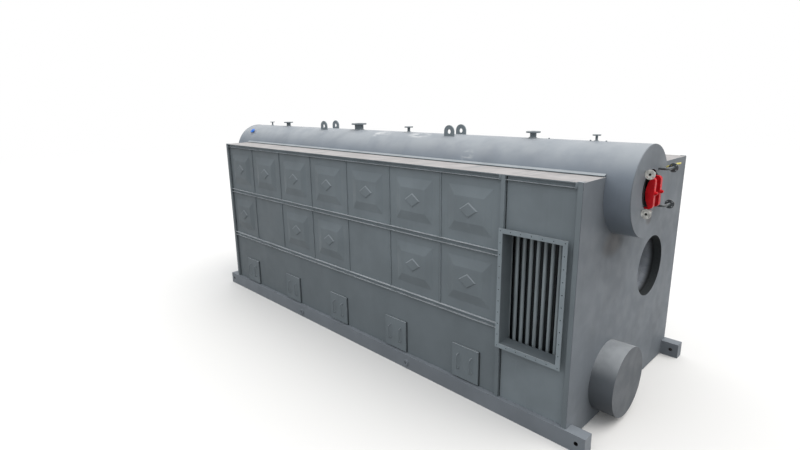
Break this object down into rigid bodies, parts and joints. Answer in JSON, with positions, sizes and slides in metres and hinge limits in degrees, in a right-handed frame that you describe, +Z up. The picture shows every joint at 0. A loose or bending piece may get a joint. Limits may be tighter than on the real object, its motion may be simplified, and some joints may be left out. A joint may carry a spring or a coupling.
{
  "type": "packaged water-tube boiler",
  "caption": "Packaged industrial water-tube boiler: insulated casing with embossed side panels on a beam skid, steam drum along the roof, burner opening and flanged flue outlet.",
  "frame": {"origin": "on the ground, at the middle of the casing's length and width, on the underside of the middle cross member", "axes": "+Z up, +Y from the front plate with the burner opening towards the rear, -X the side with the flue outlet"},
  "size_m": [3.59, 9.4544, 3.878],
  "materials": {
    "grey_paint": "satin industrial paint",
    "drum_paint": "satin industrial paint on drum cladding",
    "dusty_paint": "painted plate under pale dust",
    "red_paint": "gloss red paint",
    "bare_steel": "dark mill scale",
    "tube_primer": "grey primer on tubes",
    "zinc_flange": "machined flange face",
    "firebrick": "cast refractory, rough and dull"
  },
  "bodies": {
    "root": {"skid_beam_left": "grey_paint", "skid_beam_right": "grey_paint", "skid_cross_members": "grey_paint", "beam_eyes": "grey_paint", "floor_slab": "bare_steel", "front_wall": "grey_paint", "rear_wall": "grey_paint", "left_wall": "grey_paint", "outlet_bay_wall": "grey_paint", "right_wall": "grey_paint", "roof_left": "dusty_paint", "roof_right": "dusty_paint", "division_wall": "bare_steel", "left_posts": "grey_paint", "right_posts": "grey_paint", "left_rails": "grey_paint", "right_rails": "grey_paint", "left_panels": "grey_paint", "right_panels": "grey_paint", "left_lower_sheets": "grey_paint", "right_lower_sheets": "grey_paint", "outlet_bay_sheet": "grey_paint", "drum_edge_strips": "grey_paint", "upper_drum": "bare_steel", "upper_drum_jacket": "drum_paint", "upper_drum_front_cover": "drum_paint", "upper_drum_rear_cover": "drum_paint", "manhole_cover": "bare_steel", "manhole_yokes": "red_paint", "manhole_ring": "bare_steel", "left_gauge_pipes": "zinc_flange", "right_gauge_pipes": "grey_paint", "steam_outlet": "grey_paint", "valve_nozzles": "grey_paint", "auxiliary_nozzle": "grey_paint", "small_nozzles": "grey_paint", "side_stub": "grey_paint", "lifting_lugs_front": "grey_paint", "lifting_lugs_rear": "grey_paint", "lower_drum": "bare_steel", "lower_drum_jackets": "drum_paint", "burner_throat": "firebrick", "outlet_duct": "grey_paint", "outlet_flange": "grey_paint", "outer_tube_row": "tube_primer", "inner_tube_rows": "tube_primer", "access_covers": "grey_paint", "cover_handles": "grey_paint"}
  },
  "joints": []
}
